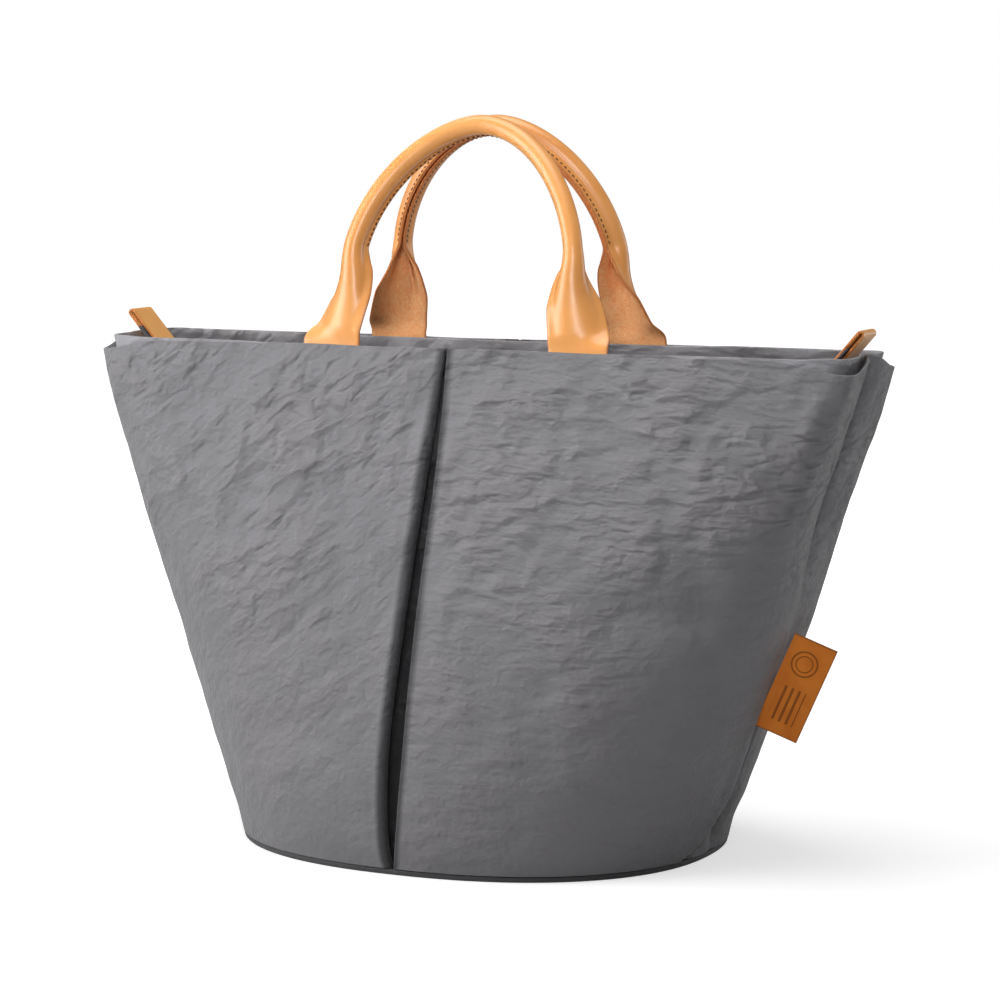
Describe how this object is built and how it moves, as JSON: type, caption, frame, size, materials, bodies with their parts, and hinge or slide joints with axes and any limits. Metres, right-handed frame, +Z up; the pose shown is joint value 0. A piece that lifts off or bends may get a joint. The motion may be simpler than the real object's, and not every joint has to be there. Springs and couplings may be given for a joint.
{
  "type": "tote bag",
  "caption": "Open fabric tote bag on an oval base, wide at the mouth, pleated front and back, with rolled leather handles, an inner bag, zip end tabs and a leather side label.",
  "frame": {"origin": "centre of the base's underside, on the surface that the bag stands on", "axes": "+Z up, +X along the mouth's long side towards the side with the label, -Y towards the front"},
  "size_m": [0.4442, 0.2294, 0.3916],
  "materials": {
    "outer_fabric": "crinkled washed nylon",
    "inner_fabric": "smooth lining",
    "base_fabric": "fabric over a stiff board",
    "handle_leather": "smooth semi-gloss grain, rough flesh side",
    "zip_tape": "woven tape",
    "tab_leather": "smooth",
    "label_leather": "smooth"
  },
  "bodies": {
    "root": {"outer_shell": "outer_fabric", "inner_bag": "inner_fabric", "base_panel": "base_fabric", "front_handle": "handle_leather", "back_handle": "handle_leather", "zip_tape_front": "zip_tape", "zip_tape_back": "zip_tape", "zip_tab_left": "tab_leather", "zip_tab_right": "tab_leather", "side_label": "label_leather"}
  },
  "joints": []
}
